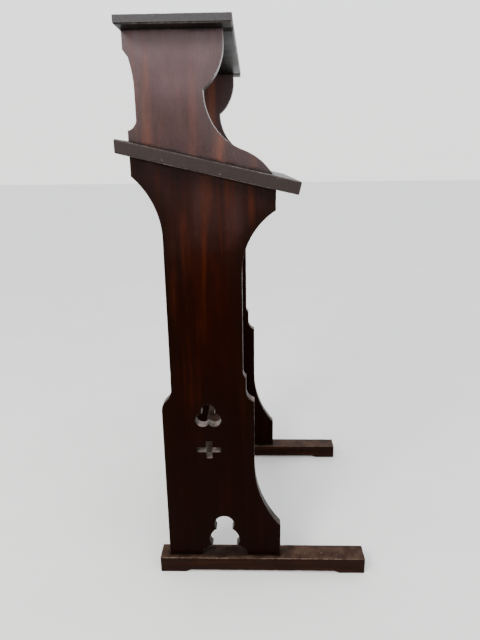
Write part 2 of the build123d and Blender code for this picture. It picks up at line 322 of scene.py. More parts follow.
def agedWood(name, look):
    material, tree, shader, place = startMaterial(name)
    work = polishWork
    normal = tree.nodes.new("ShaderNodeNewGeometry").outputs["Normal"]
    rim = addNode(tree, "ShaderNodeAttribute", attribute_name="rim").outputs["Fac"]
    seat = addNode(tree, "ShaderNodeAttribute", attribute_name="seat").outputs["Fac"]

    def placed(group, values):
        return addNode(tree, "ShaderNodeGroup", values, node_tree=group).outputs

    def times(first, second):
        return combine(tree, "MULTIPLY", first, second)

    def highest(first, second):
        return combine(tree, "MAXIMUM", first, second)

    # the figure of the wood, under stain that took in soft blotches
    stretched = stretch(tree, place, look["grain"], look["shift"])
    values = {"Vector": stretched, "Streak Scale": look["streakScale"], "Fibre Scale": look["fibreScale"]}
    figure = placed(figureGroup, values)
    colour = blendColour(tree, figure["Tone"], look["deep"], look["body"])
    colour = blendColour(tree, times(figure["Flame"], look["flameAmount"]), colour, look["flame"])
    softer = stretch(tree, place, tuple(math.sqrt(scale) for scale in look["grain"]))
    blotch = clouds(tree, softer, *work["blotches"])
    light = remap(tree, blotch, *work["blotchLight"], 0, look["mottle"])
    colour = blendColour(tree, light, colour, scaled(look["body"], work["lightGain"]))
    dark = remap(tree, blotch, *work["blotchDark"], 0, look["mottle"])
    colour = blendColour(tree, dark, colour, look["deep"])

    # darker towards the floor, and a painted sheen towards the top, less of it on inner faces and over the
    # red figure
    height = axisOf(tree, place, "Z")
    cloudy = clouds(tree, place, *work["clouds"])
    centred = combine(tree, "SUBTRACT", cloudy, 0.5)
    level = combine(tree, "MULTIPLY_ADD", centred, look["drift"], height)
    shade = remap(tree, level, look["shadeBottom"], look["shadeTop"], look["shadeAmount"], 0)
    colour = blendColour(tree, shade, colour, look["shade"])
    # painted sheen: greyish colour that stands in for the room reflected in the polish
    paintedSheen = remap(tree, level, look["paintedSheenBottom"], look["paintedSheenTop"], 0, look["paintedSheenAmount"])
    thin = clouds(tree, stretched, *work["thin"])
    paintedSheen = times(paintedSheen, remap(tree, thin, *work["thinReach"], look["paintedSheenThin"], 1))
    outward = addNode(tree, "ShaderNodeVectorMath", {0: place, 1: normal}, operation="MULTIPLY").outputs[0]
    paintedSheen = times(paintedSheen, remap(tree, axisOf(tree, outward, "X"), *work["outward"], look["innerPaintedSheen"], 1))
    paintedSheen = times(paintedSheen, remap(tree, figure["Flame"], 0, 1, 1, look["flamePaintedSheen"], False))
    colour = blendColour(tree, paintedSheen, colour, look["paintedSheen"])

    # old polish lies darker round the margins of a face
    margin = combine(tree, "MULTIPLY_ADD", centred, work["marginDrift"], rim)
    margin = remap(tree, margin, *work["marginReach"], look["rimShade"], 0)
    colour = blendColour(tree, margin, colour, look["margin"])

    # end grain shows where a face lies square to the fibres
    axis = tuple(1.0 if scale < 1 else 0.0 for scale in look["grain"])
    facing = addNode(tree, "ShaderNodeVectorMath", {0: normal, 1: axis}, operation="DOT_PRODUCT")
    square = combine(tree, "ABSOLUTE", facing.outputs["Value"])
    ends = remap(tree, square, *work["endFacing"], 0, work["endAmount"])
    speckle = clouds(tree, place, *work["speckle"])
    speckle = remap(tree, speckle, *work["speckleReach"], work["speckleLow"], 1)
    endColour = blendColour(tree, speckle, scaled(look["endGrain"], work["endDark"]), look["endGrain"])
    colour = blendColour(tree, ends, colour, endColour)

    low, high = work["fibreLevel"] - look["fibreTone"], work["fibreLevel"] + look["fibreTone"]
    fibre = remap(tree, figure["Fibre"], 0, 1, low, high, False)
    grey = addNode(tree, "ShaderNodeCombineColor", {0: fibre, 1: fibre, 2: fibre}).outputs[0]
    colour = blendColour(tree, 1.0, colour, grey, "MULTIPLY")
    colour = blendColour(tree, times(figure["Pores"], work["poreAmount"]), colour, look["shade"])

    # painted shade on undersides; dust with painted light on up-facing faces; rubbed arrises with a painted
    # highlight; grime with painted shade at the joints
    under = remap(tree, times(axisOf(tree, normal, "Z"), -1.0), *work["underFacing"], 0, look["under"])
    colour = blendColour(tree, under, colour, work["underColour"])
    # dust, and painted light, on faces that look up
    dustAndLight = placed(dustAndLightGroup, {"Vector": place, "Normal": normal, "Amount": look["dustAndLightAmount"]})["Mask"]
    colour = blendColour(tree, dustAndLight, colour, look["dustAndLight"])
    # rubbed arrises, lightened as wear and as a painted highlight where light catches the edge
    values = {"Vector": place, "Rim": rim, "Width": look["wearHighlightWidth"], "Amount": look["wearHighlightAmount"]}
    wearHighlight = placed(wearHighlightGroup, values)["Mask"]
    colour = blendColour(tree, wearHighlight, colour, look["wornHighlight"])
    # grime, and painted shade, in the joints
    grimeShade = placed(grimeShadeGroup, {"Vector": place, "Seat": seat, "Reach": look["grimeShadeReach"]})["Mask"]
    colour = blendColour(tree, times(grimeShade, work["grimeShadeAmount"]), colour, work["grimeShadeColour"])
    tree.links.new(colour, shader.inputs["Base Color"])

    matt, dull = highest(highest(wearHighlight, dustAndLight), grimeShade), times(under, look["underDull"])
    rough = remap(tree, cloudy, *work["roughReach"], look["roughLow"], look["roughHigh"])
    rough = combine(tree, "MULTIPLY_ADD", matt, work["mattRough"], rough)
    rough = combine(tree, "MULTIPLY_ADD", dull, work["dullRough"], rough)
    rough = combine(tree, "MULTIPLY_ADD", figure["Fibre"], work["fibreRough"], rough, clamp=True)
    tree.links.new(rough, shader.inputs["Roughness"])
    polish = combine(tree, "SUBTRACT", 1.0, highest(highest(matt, ends), dull), clamp=True)
    depth = remap(tree, height, *work["coatHeights"], look["coatLow"], look["coat"])
    tree.links.new(times(polish, depth), shader.inputs["Coat Weight"])
    shader.inputs["Coat Roughness"].default_value = work["coatRough"]
    shader.inputs["Specular IOR Level"].default_value = look["specular"]
    shader.inputs["Specular Tint"].default_value = (*look["specularTint"], 1)

    scratches = clouds(tree, stretch(tree, place, work["scratchStretch"]), *work["scratches"])
    relief = times(figure["Pores"], work["poreRelief"])
    relief = combine(tree, "MULTIPLY_ADD", figure["Fibre"], work["fibreRelief"], relief)
    relief = combine(tree, "MULTIPLY_ADD", scratches, work["scratchRelief"], relief)
    raiseSurface(tree, shader, relief, work)
    return material


dowelWood = {"grain": alongZ, "pale": (0.46, 0.33, 0.19), "dark": (0.27, 0.17, 0.085), "rough": (0.52, 0.72)}
blockWood = {
    "grain": alongY, "pale": (0.105, 0.052, 0.026), "dark": (0.034, 0.0155, 0.0080), "rough": (0.68, 0.88),
}
rawWork = {
    "broad": (60, 4, 0.6, 0.6), "fibre": (900, 3, 0.65), "fibreReach": (0.3, 0.7), "toneReach": (0.35, 0.65),
    "soil": (45, 4, 0.6), "soilReach": (0.45, 0.7), "soilAmount": 0.55, "soilDark": 0.35,
    "strength": 0.6, "relief": 0.0006,
}


def rawWood(name, look):
    # Unpolished wood, sawn or turned, with open fibres.
    material, tree, shader, place = startMaterial(name)
    stretched = stretch(tree, place, look["grain"])
    broad = clouds(tree, stretched, *rawWork["broad"])
    fibre = clouds(tree, stretched, *rawWork["fibre"])
    tone = combine(tree, "MULTIPLY_ADD", fibre, 0.5, combine(tree, "MULTIPLY", broad, 0.5))
    colour = blendColour(tree, remap(tree, tone, *rawWork["toneReach"], 0, 1), look["dark"], look["pale"])
    soiled = clouds(tree, place, *rawWork["soil"])
    soiled = remap(tree, soiled, *rawWork["soilReach"], 0, rawWork["soilAmount"])
    colour = blendColour(tree, soiled, colour, scaled(look["dark"], rawWork["soilDark"]))
    tree.links.new(colour, shader.inputs["Base Color"])
    tree.links.new(remap(tree, fibre, *rawWork["fibreReach"], *look["rough"]), shader.inputs["Roughness"])
    raiseSurface(tree, shader, fibre, rawWork)
    return material


steelLook = {
    "noise": (900, 5, 0.7), "reach": (0.42, 0.66), "first": (0.34, 0.33, 0.31),
    "second": (0.085, 0.052, 0.034),
    "rough": (0.38, 0.8), "metal": (1, 0.25), "strength": 0.3, "relief": 0.0002,
}
fleckLook = {
    "noise": (300, 4, 0.6), "reach": (0.35, 0.65), "first": (0.06, 0.05, 0.043),
    "second": (0.22, 0.20, 0.175),
    "rough": (0.6, 0.85), "strength": 0.4, "relief": 0.0002,
}


def patchy(name, look):
    # Two tones in patches: tarnish on steel, or dried distemper.
    material, tree, shader, place = startMaterial(name)
    noise = clouds(tree, place, *look["noise"])
    mask = remap(tree, noise, *look["reach"], 0, 1)
    tree.links.new(blendColour(tree, mask, look["first"], look["second"]), shader.inputs["Base Color"])
    tree.links.new(remap(tree, mask, 0, 1, *look["rough"]), shader.inputs["Roughness"])
    if "metal" in look:
        tree.links.new(remap(tree, mask, 0, 1, *look["metal"]), shader.inputs["Metallic"])
        raiseSurface(tree, shader, noise, look)
    else:
        raiseSurface(tree, shader, mask, look)
    return material


finishes = {
    "mahogany_standard": agedWood("standardPolish", standardPolish),
    "mahogany_upper_side": agedWood("upperSidePolish", upperPolish),
    "mahogany_rest": agedWood("restBoardPolish", restPolish),
    "mahogany_top": agedWood("topBoardPolish", topPolish),
    "mahogany_foot": agedWood("footPolish", footPolish),
    "mahogany_shelf": agedWood("shelfPolish", shelfPolish),
    "pale_hardwood": rawWood("turnedDowel", dowelWood),
    "raw_block": rawWood("sawnBlock", blockWood),
    "screw_steel": patchy("screwSteel", steelLook),
}
fleckFinish = patchy("driedFleck", fleckLook)
print("finishes made:", len(finishes) + 1)


handWorkShape = {"dentReach": (0.52, 0.74), "dentEdge": 3.5}  # the edge's width is in millimetres


def makeHandWork():
    # Old hand work: faces hollow a little under the plane, and open edges carry small dents.
    inputs = {
        "Geometry": "NodeSocketGeometry", "Dent Depth": floatType, "Dent Scale": floatType,
        "Hollow Depth": floatType, "Hollow Scale": floatType, "Seed": floatType,
        "Finish": "NodeSocketMaterial",
    }
    tree, given, result = newGroup("handWork", "GeometryNodeTree", inputs, {"Geometry": "NodeSocketGeometry"})
    place = tree.nodes.new("GeometryNodeInputPosition").outputs[0]
    normal = tree.nodes.new("GeometryNodeInputNormal").outputs[0]
    rim = addNode(tree, "GeometryNodeInputNamedAttribute", {"Name": "rim"}).outputs[0]

    def grain(scale, detail):
        values = {"Vector": place, "W": given["Seed"], "Scale": scale, "Detail": detail}
        return addNode(tree, "ShaderNodeTexNoise", values, noise_dimensions="4D").outputs[0]

    dent = remap(tree, grain(given["Dent Scale"], 2.0), *handWorkShape["dentReach"], 0, 1)
    nearEdge = remap(tree, rim, 0, handWorkShape["dentEdge"], 1, 0)
    dent = combine(tree, "MULTIPLY", combine(tree, "MULTIPLY", dent, nearEdge), given["Dent Depth"])
    hollow = combine(tree, "MULTIPLY", grain(given["Hollow Scale"], 1.0), given["Hollow Depth"])
    depth = combine(tree, "MULTIPLY", combine(tree, "ADD", dent, hollow), -1.0)
    offset = addNode(tree, "ShaderNodeVectorMath", {0: normal, "Scale": depth}, operation="SCALE").outputs[0]
    moved = addNode(tree, "GeometryNodeSetPosition", {"Geometry": given["Geometry"], "Offset": offset})
    return finishTree(tree, moved.outputs[0], given, result)


fleckShape = {"noiseScale": 1.3, "reach": (0.3, 0.7), "swell": (0.55, 1.25), "roundness": 2}


def makeFlecks():
    # Flat irregular specks, scattered over a surface.
    inputs = {
        "Geometry": "NodeSocketGeometry", "Density": floatType, "Smallest": floatType, "Largest": floatType,
        "Thickness": floatType, "Seed": "NodeSocketInt", "Finish": "NodeSocketMaterial",
    }
    tree, given, result = newGroup("flecks", "GeometryNodeTree", inputs, {"Geometry": "NodeSocketGeometry"})
    values = {"Mesh": given["Geometry"], "Density": given["Density"], "Seed": given["Seed"]}
    points = addNode(tree, "GeometryNodeDistributePointsOnFaces", values)
    values = {"Radius": 1.0, "Subdivisions": fleckShape["roundness"]}
    blob = addNode(tree, "GeometryNodeMeshIcoSphere", values).outputs[0]
    place = tree.nodes.new("GeometryNodeInputPosition").outputs[0]
    values = {"Vector": place, "Scale": fleckShape["noiseScale"], "Detail": 1.0}
    noise = addNode(tree, "ShaderNodeTexNoise", values).outputs[0]
    swell = remap(tree, noise, *fleckShape["reach"], *fleckShape["swell"])
    ragged = addNode(tree, "ShaderNodeVectorMath", {0: place, "Scale": swell}, operation="SCALE").outputs[0]
    blob = addNode(tree, "GeometryNodeSetPosition", {"Geometry": blob, "Position": ragged}).outputs[0]

    def chance(offset):
        seed = combine(tree, "ADD", given["Seed"], float(offset))
        values = {2: given["Smallest"], 3: given["Largest"], "Seed": seed}
        return addNode(tree, "FunctionNodeRandomValue", values, data_type="FLOAT").outputs[1]

    across, along = chance(1), chance(2)
    scale = addNode(tree, "ShaderNodeCombineXYZ", {0: across, 1: along, 2: given["Thickness"]}).outputs[0]
    values = {"Points": points.outputs["Points"], "Instance": blob, "Rotation": points.outputs["Rotation"]}
    values["Scale"] = scale
    placed = addNode(tree, "GeometryNodeInstanceOnPoints", values)
    return finishTree(tree, placed.outputs[0], given, result)


screwWork = {"headSides": 32, "shankSides": 24, "slotOverrun": 2.4, "firstTurn": 0.4, "turnStep": 1.1}


def makeScrews():
    # A slotted countersunk screw on each point of the mesh, head down.
    inputs = {
        "Geometry": "NodeSocketGeometry", "Head Radius": floatType, "Head Height": floatType,
        "Shank Radius": floatType, "Length": floatType, "Slot Width": floatType, "Slot Depth": floatType,
        "Finish": "NodeSocketMaterial",
    }
    outputs = {"Geometry": "NodeSocketGeometry"}
    tree, given, result = newGroup("slottedScrews", "GeometryNodeTree", inputs, outputs)
    values = {"Vertices": screwWork["headSides"], "Side Segments": 2, "Fill Segments": 1}
    values.update({"Radius Top": given["Shank Radius"], "Radius Bottom": given["Head Radius"]})
    values["Depth"] = given["Head Height"]
    head = addNode(tree, "GeometryNodeMeshCone", values, fill_type="NGON").outputs[0]
    shankLength = combine(tree, "SUBTRACT", given["Length"], given["Head Height"])
    values = {"Vertices": screwWork["shankSides"], "Radius": given["Shank Radius"], "Depth": shankLength}
    shank = addNode(tree, "GeometryNodeMeshCylinder", values, fill_type="NGON").outputs[0]
    lift = combine(tree, "MULTIPLY_ADD", shankLength, 0.5, given["Head Height"])
    offset = addNode(tree, "ShaderNodeCombineXYZ", {2: lift}).outputs[0]
    shank = addNode(tree, "GeometryNodeTransform", {"Geometry": shank, "Translation": offset}).outputs[0]
    slotSize = addNode(tree, "ShaderNodeCombineXYZ", {1: given["Slot Width"]})
    slotLength = combine(tree, "MULTIPLY", given["Head Radius"], screwWork["slotOverrun"])
    tree.links.new(slotLength, slotSize.inputs[0])
    tree.links.new(combine(tree, "MULTIPLY", given["Slot Depth"], 2.0), slotSize.inputs[2])
    slot = addNode(tree, "GeometryNodeMeshCube", {"Size": slotSize.outputs[0]}).outputs[0]
    cut = addNode(tree, "GeometryNodeMeshBoolean", {"Mesh 1": head, "Mesh 2": slot}, operation="DIFFERENCE")
    whole = tree.nodes.new("GeometryNodeJoinGeometry")
    tree.links.new(cut.outputs[0], whole.inputs[0])
    tree.links.new(shank, whole.inputs[0])
    index = addNode(tree, "GeometryNodeInputIndex").outputs[0]
    turn = combine(tree, "MULTIPLY_ADD", index, screwWork["turnStep"], screwWork["firstTurn"])
    angle = addNode(tree, "ShaderNodeCombineXYZ", {2: turn}).outputs[0]
    values = {"Points": given["Geometry"], "Instance": whole.outputs[0], "Rotation": angle}
    placed = addNode(tree, "GeometryNodeInstanceOnPoints", values)
    return finishTree(tree, placed.outputs[0], given, result)


handWork, flecks, slottedScrews = makeHandWork(), makeFlecks(), makeScrews()
print("geometry node trees made")


def grow(name, mesh, tree, values):
    # Runs a tree on a mesh and keeps the result as a plain mesh at the origin.
    source = addObject(name + "_source", mesh)
    modifier = source.modifiers.new(tree.name, "NODES")
    modifier.node_group = tree
    for item in tree.interface.items_tree:
        if item.item_type == "SOCKET" and item.in_out == "INPUT" and item.name in values:
            modifier[item.identifier] = values[item.name]
    evaluated = source.evaluated_get(bpy.context.evaluated_depsgraph_get())
    result = bpy.data.meshes.new_from_object(evaluated)
    source.modifiers.remove(modifier)
    bpy.data.objects.remove(source)
    result.name = name
    return addObject(name, result)


def settle(piece, slot, *replaced):
    if replaced:
        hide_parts(*replaced)
    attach(piece, "root")


def roundShading(piece, degrees=38):
    piece.data.shade_smooth()
    piece.data.set_sharp_from_angle(angle=math.radians(degrees))


panelWork = {
    "arris": 0.0013, "hem": 0.0005, "spacing": 0.007, "arrisSteps": 3, "tipReach": 12, "straightest": 0.2,
    "clearOfEdge": 0.45, "shares": 24, "farthest": 60,
}
tolerance = {
    "merge": 0.00001, "plane": 0.00002, "joined": 0.000002, "seat": 0.0003, "level": 0.0001, "run": 1e-7,
}
nowhere, clear = 1.0, 0.03  # distances past every reach, from a seat and from an edge
wood = {"Dent Depth": 0.0006, "Dent Scale": 60.0, "Hollow Depth": 0.00035, "Hollow Scale": 7.0}
restBoard = {
    "thickness": 0.022, "heelHeight": 0.862, "slope": math.radians(13), "arris": 0.0026, "leanReach": 0.03,
    "seatSteps": 12, "seatGap": 0.0004,
}
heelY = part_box("left_upper_side")[1].y
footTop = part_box("left_foot")[1].z
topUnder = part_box("top_board")[0].z


def restTop(y):
    return restBoard["heelHeight"] - (heelY - y) * math.tan(restBoard["slope"])


def restUnder(y):
    return restTop(y) - restBoard["thickness"] / math.cos(restBoard["slope"])


def outlineLoops(nodeName, plane):
    # The closed outlines, in y and z, of the flat face that lies in the plane x = plane.
    mesh = editing(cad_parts[nodeName].data)
    bmesh.ops.remove_doubles(mesh, verts=mesh.verts, dist=tolerance["merge"])
    flat = {face for face in mesh.faces if all(abs(v.co.x - plane) < tolerance["plane"] for v in face.verts)}
    beside = {}
    for edge in mesh.edges:
        if sum(face in flat for face in edge.link_faces) == 1:
            first, second = edge.verts
            beside.setdefault(first, []).append(second)
            beside.setdefault(second, []).append(first)
    loops = []
    while beside:
        start = next(iter(beside))
        loop, here = [start], beside.pop(start)[0]
        while here is not start:
            loop.append(here)
            here = next(v for v in beside.pop(here) if v is not loop[-2])
        loops.append(np.array([(v.co.y, v.co.z) for v in loop]))
    mesh.free()
    loops.sort(key=lambda points: -abs(loopArea(points)))
    # the outer loop turns one way and the piercings turn the other
    turned = [(loopArea(points) > 0) == (index == 0) for index, points in enumerate(loops)]
    return [divideLoop(points if right else points[::-1]) for points, right in zip(loops, turned)]


def loopArea(points):
    onward = np.roll(points, -1, axis=0)
    return 0.5 * float(np.sum(points[:, 0] * onward[:, 1] - onward[:, 0] * points[:, 1]))


def divideLoop(points):
    # Long straight runs get points of their own, so that an edge can carry small dents.
    result = []
    for here, there in zip(points, np.roll(points, -1, axis=0)):
        steps = max(1, math.ceil(np.linalg.norm(there - here) / panelWork["spacing"]))
        result += [here + (there - here) * step / steps for step in range(steps)]
    return np.array(result)


def insetDirections(points, seated):
    # How far each corner moves for a unit inset. A seated run stays where it is.
    onward = np.roll(points, -1, axis=0) - points
    onward /= np.linalg.norm(onward, axis=1)[:, None]
    inward = np.stack([-onward[:, 1], onward[:, 0]], axis=1)
    share = np.where(seated, 0.0, 1.0)
    moves = []
    for index in range(len(points)):
        before, after = inward[index - 1], inward[index]
        wanted = np.array([share[index - 1], share[index]])
        matrix = np.array([before, after])
        if abs(np.linalg.det(matrix)) > panelWork["straightest"]:
            moves.append(np.linalg.solve(matrix, wanted))
        else:
            middle = (before + after) / np.linalg.norm(before + after)
            moves.append(middle * wanted.mean())
    return np.array(moves)


def crossing(a, b, c, d):
    # Where the run a-b crosses the run c-d, if it does.
    first, second = b - a, d - c
    turn = first[0] * second[1] - first[1] * second[0]
    if abs(turn) < 1e-14:
        return None
    gap = c - a
    along = (gap[0] * second[1] - gap[1] * second[0]) / turn
    across = (gap[0] * first[1] - gap[1] * first[0]) / turn
    return a + first * along if 0 <= along <= 1 and 0 <= across <= 1 else None


def untangle(ring):
    # An inset past a sharp tip crosses itself. The points beyond the crossing are gathered there.
    ring, count = ring.copy(), len(ring)
    for index in range(count):
        for ahead in range(panelWork["tipReach"], 1, -1):
            far = (index + ahead) % count
            ends = ring[index], ring[(index + 1) % count], ring[far], ring[(far + 1) % count]
            meeting = crossing(*ends)
            if meeting is not None:
                for step in range(1, ahead + 1):
                    ring[(index + step) % count] = meeting
                break
    return ring


def nearest(points, starts, ends):
    # Distance from each point to the nearest of some straight runs.
    run = ends - starts
    gap = points[:, None, :] - starts[None]
    along = np.clip((gap * run).sum(2) / np.maximum((run ** 2).sum(1), 1e-12), 0, 1)
    return np.linalg.norm(gap - along[..., None] * run, axis=2).min(1)


def inside(points, loops):
    crossings = np.zeros(len(points), int)
    for loop in loops:
        for (y0, z0), (y1, z1) in zip(loop, np.roll(loop, -1, axis=0)):
            if z0 == z1:
                continue
            level = (points[:, 1] >= min(z0, z1)) & (points[:, 1] < max(z0, z1))
            crossings += level & (points[:, 0] < y0 + (points[:, 1] - z0) * (y1 - y0) / (z1 - z0))
    return crossings % 2 == 1


def fillFace(loops):
    # Triangles that fill the loops, on an even grid.
    spacing = panelWork["spacing"]
    edge = np.concatenate(loops)
    low, high = edge.min(0), edge.max(0)
    ys = np.arange(low[0] + spacing / 2, high[0], spacing)
    zs = np.arange(low[1] + spacing / 2, high[1], spacing)
    grid = np.stack(np.meshgrid(ys, zs), axis=-1).reshape(-1, 2)
    grid = grid[inside(grid, loops)]
    starts = np.concatenate(loops)
    ends = np.concatenate([np.roll(loop, -1, axis=0) for loop in loops])
    grid = grid[nearest(grid, starts, ends) > spacing * panelWork["clearOfEdge"]]
    runs, first = [], 0
    for loop in loops:
        count = len(loop)
        apart = np.linalg.norm(np.roll(loop, -1, axis=0) - loop, axis=1) > tolerance["run"]
        runs += [(first + index, first + (index + 1) % count) for index in range(count) if apart[index]]
        first += count
    given = np.concatenate([edge, grid])
    result = delaunay_2d_cdt([Vector(point) for point in given], runs, [], 0, tolerance["run"])
    source = [origin[0] for origin in result[3]]
    triangles = np.array([[source[corner] for corner in face] for face in result[2]])
    keep = inside(given[triangles].mean(1), loops)
    return given, triangles[keep]


def frettedPanel(nodeName, isSeat):
    low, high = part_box(nodeName)
    arris, hem = panelWork["arris"], panelWork["hem"]
    outer = low.x if low.x < 0 else high.x
    loops = outlineLoops(nodeName, outer)
    angles = [math.pi / 2 * step / panelWork["arrisSteps"] for step in range(panelWork["arrisSteps"] + 1)]
    # each ring is an inset and a depth from the near face, from the face's hem round the arris to the wall
    rings = [(arris + hem, 0.0)]
    rings += [(arris * (1 - math.cos(angle)), arris * (1 - math.sin(angle))) for angle in reversed(angles)]
    width = high.x - low.x
    rings += [(0.0, arris + hem), (0.0, width / 3), (0.0, width * 2 / 3), (0.0, width - arris - hem)]
    rings += [(inset, width - depth) for inset, depth in reversed(rings[:len(angles) + 1])]

    vertices, faces, flats, seatRuns, openRuns = [], [], ([], []), [], []
    for points in loops:
        onward = np.roll(points, -1, axis=0)
        seated = np.array([isSeat(here, there) for here, there in zip(points, onward)])
        moves = insetDirections(points, seated)
        seatRuns += [(here, there) for here, there, rest in zip(points, onward, seated) if rest]
        openRuns += [(here, there) for here, there, rest in zip(points, onward, seated) if not rest]
        count, base = len(points), len(vertices)
        insets = {inset: untangle(points + moves * inset) if inset else points for inset, depth in rings}
        for inset, depth in rings:
            vertices += [(low.x + depth, y, z) for y, z in insets[inset]]
        for ring in range(len(rings) - 1):
            for index in range(count):
                a, b = base + ring * count + index, base + ring * count + (index + 1) % count
                faces.append((a, a + count, b + count, b))
        flats[0].append((insets[rings[0][0]], base))
        flats[1].append((insets[rings[-1][0]], base + (len(rings) - 1) * count))

    for flat, plane, order in ((flats[0], low.x, (0, 2, 1)), (flats[1], high.x, (0, 1, 2))):
        given, triangles = fillFace([points for points, base in flat])
        numbers = np.concatenate([np.arange(len(points)) + base for points, base in flat])
        spare = len(given) - len(numbers)
        numbers = np.concatenate([numbers, np.arange(spare) + len(vertices)]).astype(int)
        vertices += [(plane, y, z) for y, z in given[len(given) - spare:]]
        faces += [tuple(int(numbers[face[corner]]) for corner in order) for face in triangles]

    mesh = bpy.data.meshes.new(nodeName + "_blank")
    mesh.from_pydata(vertices, [], faces)
    joined = editing(mesh)
    bmesh.ops.remove_doubles(joined, verts=joined.verts, dist=tolerance["joined"])
    bmesh.ops.recalc_face_normals(joined, faces=joined.faces)
    joined.to_mesh(mesh)
    joined.free()
    place = np.array([vertex.co for vertex in mesh.vertices])

    def distance(runs):
        starts, ends = np.array([run[0] for run in runs]), np.array([run[1] for run in runs])
        shares = np.array_split(place[:, 1:], panelWork["shares"])
        return np.concatenate([nearest(share, starts, ends) for share in shares])

    across = np.minimum(place[:, 0] - low.x, high.x - place[:, 0])
    setDistance(mesh, "rim", np.maximum(distance(openRuns), across))
    setDistance(mesh, "seat", distance(seatRuns))
    return mesh


def setDistance(mesh, name, metres):
    attribute = mesh.attributes.new(name, "FLOAT", "POINT")
    values = np.clip(metres / millimetre, 0, panelWork["farthest"])
    attribute.data.foreach_set("value", values.astype(np.float32))


def onStandardSeat(here, there):
    onFoot = max(here[1], there[1]) < footTop + tolerance["level"]
    underRest = all(abs(point[1] - restUnder(point[0])) < tolerance["seat"] for point in (here, there))
    return onFoot or underRest


def onUpperSeat(here, there):
    underTop = min(here[1], there[1]) > topUnder - tolerance["level"]
    onRest = all(abs(point[1] - restTop(point[0])) < tolerance["seat"] for point in (here, there))
    return underTop or onRest


def handWorked(name, blank, slot, seed, nodeName, **changes):
    # Works the blank by hand, smooths it and puts it in the place of its node.
    piece = grow(name, blank, handWork, dict(wood, Seed=seed, Finish=finishes[slot], **changes))
    roundShading(piece)
    settle(piece, slot, nodeName)
    return piece


panels = (
    ("standard", "fretted_standard", onStandardSeat, 3.0),
    ("upper_side", "shaped_upper_side", onUpperSeat, 7.0),
)
for number, sideName in enumerate(sides):
    for kind, pieceName, isSeat, seed in panels:
        nodeName = f"{sideName}_{kind}"
        blank = frettedPanel(nodeName, isSeat)
        handWorked(f"{sideName}_{pieceName}", blank, f"mahogany_{kind}", seed + number, nodeName)
print("panels made")


boardGrid = {"cornerLine": 0.423, "clearOfMark": 0.4}  # shares of the arris and of the spacing


def gridLines(length, arris, extra=()):
    spacing = panelWork["spacing"]
    near = [0.0, arris * boardGrid["cornerLine"], arris, arris + panelWork["hem"]]
    far = [length - step for step in reversed(near)]
    count = max(1, round((far[0] - near[-1]) / spacing))
    middle = [near[-1] + (far[0] - near[-1]) * step / count for step in range(1, count)]
    clearOf = spacing * boardGrid["clearOfMark"]
    middle = [line for line in middle if all(abs(line - mark) > clearOf for mark in extra)]
    return np.array(sorted(near + middle + list(extra) + far))


def roundedBoard(name, low, high, arris, shape, contacts, marks=()):
    # A board with rounded arrises on an even grid. shape bends the finished points, contacts lists the
    # boxes that stand against it, and marks lists the places along Y that need a grid line.
    low, high = np.array(low, float), np.array(high, float)
    extra = [(), [mark - low[1] for mark in marks], ()]
    size = high - low
    lines = [low[axis] + gridLines(size[axis], arris, extra[axis]) for axis in range(3)]
    mesh = bmesh.new()
    rim = mesh.verts.layers.float.new("rim")
    for axis in range(3):
        first, second = (axis + 1) % 3, (axis + 2) % 3
        for plane, flip in ((low[axis], True), (high[axis], False)):
            rows = []
            for u in lines[first]:
                row = []
                for v in lines[second]:
                    point = np.empty(3)
                    point[axis], point[first], point[second] = plane, u, v
                    gaps = np.sort(np.minimum(point - low, high - point))
                    core = np.clip(point, low + arris, high - arris)
                    away = point - core
                    point = core + away * arris / max(np.linalg.norm(away), 1e-9)
                    vertex = mesh.verts.new(point)
                    vertex[rim] = gaps[1] / millimetre
                    row.append(vertex)
                rows.append(row)
            for one, two in zip(rows, rows[1:]):
                for index in range(len(one) - 1):
                    corners = [one[index], two[index], two[index + 1], one[index + 1]]
                    mesh.faces.new(reversed(corners) if flip else corners)
    bmesh.ops.remove_doubles(mesh, verts=mesh.verts, dist=tolerance["merge"])
    for vertex in mesh.verts:
        vertex.co = shape(vertex.co)
    bmesh.ops.recalc_face_normals(mesh, faces=mesh.faces)
    result = edited(mesh, name + "_blank")
    place = np.array([vertex.co for vertex in result.vertices])
    seat = np.full(len(place), nowhere)
    for boxLow, boxHigh in contacts:
        gap = np.maximum(np.maximum(np.array(boxLow) - place, place - np.array(boxHigh)), 0)
        seat = np.minimum(seat, np.linalg.norm(gap, axis=1))
    setDistance(result, "seat", seat)
    return result


def makeRestBoard():
    low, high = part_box("rest_board")
    slope, gap, steps = restBoard["slope"], restBoard["seatGap"], restBoard["seatSteps"]
    drop = restBoard["thickness"] / math.cos(slope)

    def slant(point):
        # the front end is square to the slope, and the back end is plumb
        lean = -point.z * math.sin(slope) * math.cos(slope)
        fade = max(0.0, 1 - (point.y - low.y) / restBoard["leanReach"])
        y = point.y + lean * fade
        return Vector((point.x, y, point.z + restTop(y)))

    contacts = []
    for sideName in sides:
        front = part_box(sideName + "_upper_side")[0].y
        for kind, level in (("_upper_side", restTop), ("_standard", restUnder)):
            partLow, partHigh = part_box(sideName + kind)
            for y0, y1 in itertools.pairwise(np.linspace(front, partHigh.y, steps + 1)):
                contacts.append(((partLow.x, y0, level(y0) - gap), (partHigh.x, y1, level(y1) + gap)))
    flatLow, flatHigh = (low.x, low.y, -drop), (high.x, high.y, 0.0)
    blank = roundedBoard("rest_board", flatLow, flatHigh, restBoard["arris"], slant, contacts)
    return handWorked("sloping_rest_board", blank, "mahogany_rest", 11.0, "rest_board")


topBoard = {"arris": 0.0016, "bevel": 0.0025}


